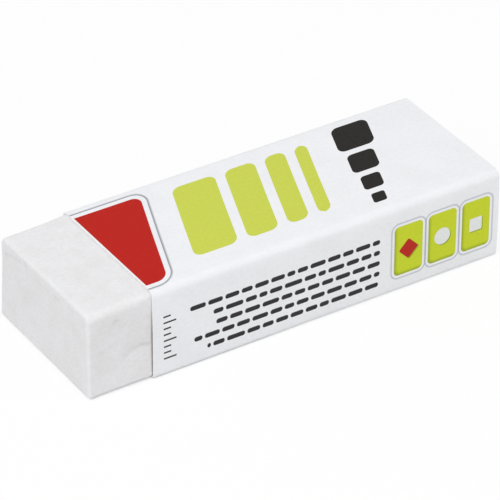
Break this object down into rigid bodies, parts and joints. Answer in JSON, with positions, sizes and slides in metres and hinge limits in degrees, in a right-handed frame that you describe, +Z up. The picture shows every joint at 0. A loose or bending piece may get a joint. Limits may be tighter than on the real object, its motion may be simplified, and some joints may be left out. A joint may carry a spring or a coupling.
{
  "type": "block eraser in card sleeve",
  "caption": "Rectangular block eraser that slides in a folded card sleeve open at both ends, with its bare end out for rubbing out pencil.",
  "frame": {"origin": "middle of the whole eraser's footprint, on the surface that it lies on", "axes": "+Z up, X along the eraser with the bare end of the block at -X, +Y towards the sleeve's glued side"},
  "size_m": [0.063, 0.023, 0.0132],
  "materials": {
    "block_rubber": "smooth matte white",
    "sleeve_card": "coated white card with a printed gloss surface"
  },
  "bodies": {
    "sleeve": {"card_sleeve": "sleeve_card"},
    "block": {"eraser_block": "block_rubber"}
  },
  "joints": [
    {"name": "block_slide", "type": "slide", "parent": "sleeve", "child": "block", "axis": [-1, 0, 0], "range_m": [-0.008, 0.022]}
  ]
}
